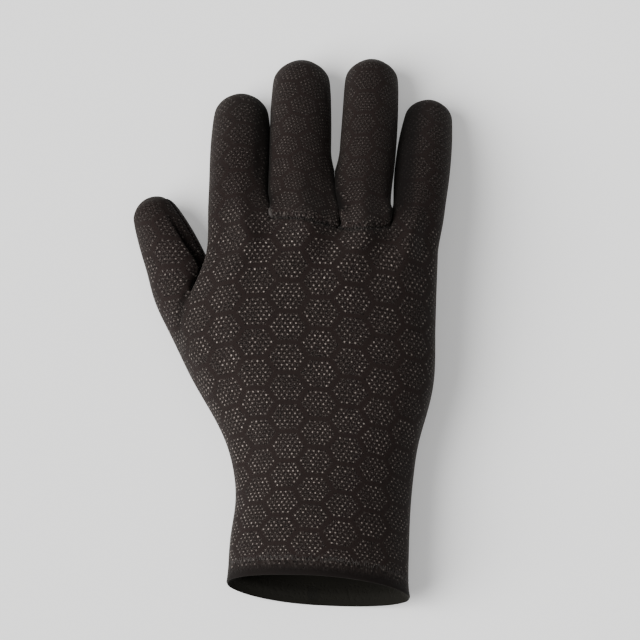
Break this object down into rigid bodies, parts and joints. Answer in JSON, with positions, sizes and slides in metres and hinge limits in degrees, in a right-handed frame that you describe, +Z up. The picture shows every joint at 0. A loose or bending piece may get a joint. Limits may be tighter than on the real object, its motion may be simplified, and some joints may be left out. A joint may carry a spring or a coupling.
{
  "type": "diving glove",
  "caption": "Right-hand five-finger diving glove in black neoprene, lying palm down with its fingers filled out, with a stitched hem round the wrist opening.",
  "frame": {"origin": "middle of the glove's box, on the surface that it lies on", "axes": "+X towards the little finger, +Y towards the fingertips, +Z up out of the back of the hand"},
  "size_m": [0.1484, 0.2682, 0.0521],
  "materials": {
    "jersey": "matt black jersey on neoprene, with small raised grey dots in hexagons",
    "hem": "matt plain black jersey, folded and stitched"
  },
  "bodies": {
    "root": {"back_panel": "jersey", "palm_panel": "jersey", "middle_finger_back": "jersey", "ring_finger_back": "jersey", "cuff_hem": "hem"}
  },
  "joints": []
}
